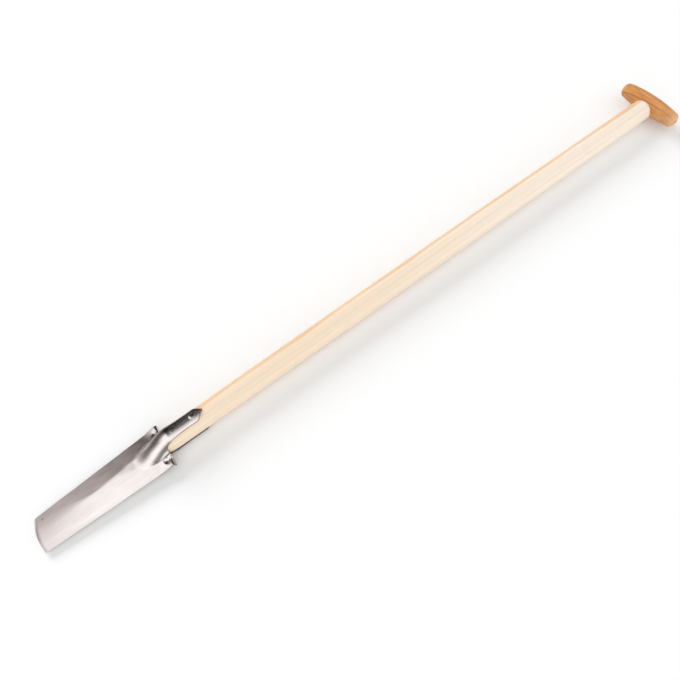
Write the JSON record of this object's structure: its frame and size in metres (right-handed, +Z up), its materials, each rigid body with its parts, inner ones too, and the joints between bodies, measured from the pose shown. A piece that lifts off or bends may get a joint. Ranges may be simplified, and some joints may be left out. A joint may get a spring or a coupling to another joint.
{
  "type": "trenching spade",
  "caption": "Long narrow trenching spade with a forged dished blade, an open strapped socket riveted to a round ash shaft, and a wedged turned T-grip.",
  "frame": {"origin": "centre of the underside of the box round the spade as it lies face down", "axes": "+X along the shaft from the cutting edge toward the grip, +Y across the blade, +Z up out of the blade's convex back"},
  "size_m": [1.2301, 0.112, 0.044],
  "materials": {
    "forged_steel": "satin, brushed along the blade",
    "rivet_steel": "satin",
    "ash_wood": "sanded and oiled",
    "grip_wood": "sanded and oiled",
    "wedge_wood": "sanded and oiled"
  },
  "bodies": {
    "root": {"blade": "forged_steel", "front_strap": "forged_steel", "strap_rivets": "rivet_steel", "shaft": "ash_wood", "grip": "grip_wood", "grip_wedge": "wedge_wood"}
  },
  "joints": []
}
